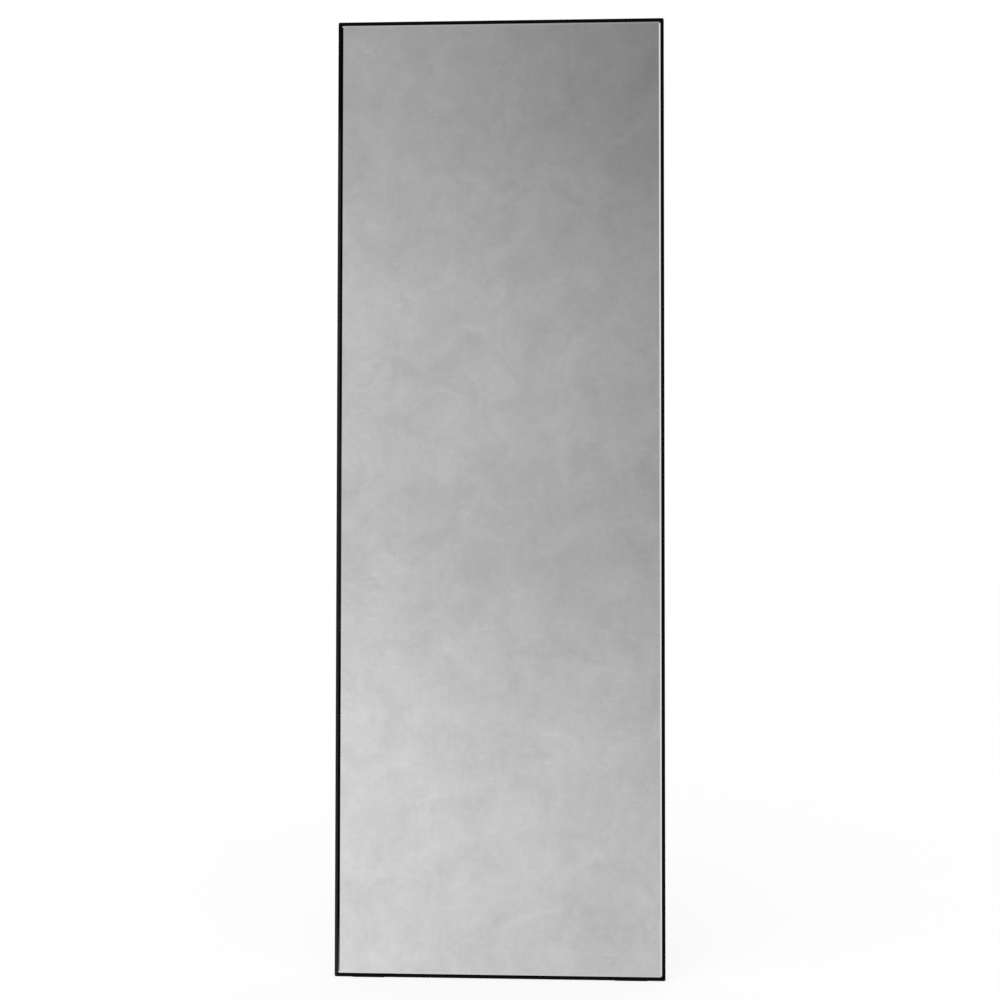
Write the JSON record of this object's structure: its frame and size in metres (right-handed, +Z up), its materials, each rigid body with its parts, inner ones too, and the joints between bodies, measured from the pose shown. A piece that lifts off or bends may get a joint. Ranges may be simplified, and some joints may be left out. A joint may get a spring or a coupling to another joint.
{
  "type": "leaning floor mirror",
  "caption": "Full-length rectangular leaning floor mirror in a very slim black metal frame, with corner keys, backing board, swinging D-ring hangers, wall bumpers and foot pads.",
  "frame": {"origin": "middle of the base, on the surface that the foot pads stand on", "axes": "+X to the right as seen from the front, -Y the way the glass faces, +Z up the mirror's height; the mirror stands upright, not leaning"},
  "size_m": [0.582, 0.025, 1.7],
  "materials": {
    "frame_black": "satin black powder coat",
    "key_steel": "stamped, zinc plated",
    "screw_steel": "zinc plated",
    "mirror": "silvered float glass with a narrow polished bevel",
    "film": "matt safety film",
    "tape": "foam tape",
    "board": "medium density fibre board, bare",
    "hanger_steel": "nickel plated",
    "rubber": "matt"
  },
  "bodies": {
    "frame": {"frame_rail_bottom": "frame_black", "frame_rail_top": "frame_black", "frame_stile_left": "frame_black", "frame_stile_right": "frame_black", "corner_key_bottom_left": "key_steel", "corner_key_bottom_right": "key_steel", "corner_key_top_left": "key_steel", "corner_key_top_right": "key_steel", "corner_key_screws": "screw_steel", "backing_board_screws": "screw_steel", "hanger_screws": "screw_steel", "mirror_glass": "mirror", "safety_film": "film", "bonding_tape_strips": "tape", "backing_board": "board", "hanger_strap_left": "hanger_steel", "hanger_strap_right": "hanger_steel", "glass_setting_blocks": "rubber", "wall_bumper_bottom_left": "rubber", "wall_bumper_bottom_right": "rubber", "wall_bumper_top_left": "rubber", "wall_bumper_top_right": "rubber", "foot_pad_left": "rubber", "foot_pad_right": "rubber"},
    "ring_left": {"hanger_ring_left": "hanger_steel"},
    "ring_right": {"hanger_ring_right": "hanger_steel"}
  },
  "joints": [
    {"name": "ring_left_swing", "type": "hinge", "parent": "frame", "child": "ring_left", "pos_m": [-0.196, 0.0057, 1.4], "axis": [1, 0, 0], "range_deg": [0, 180]},
    {"name": "ring_right_swing", "type": "hinge", "parent": "frame", "child": "ring_right", "pos_m": [0.196, 0.0057, 1.4], "axis": [1, 0, 0], "range_deg": [0, 180]}
  ]
}
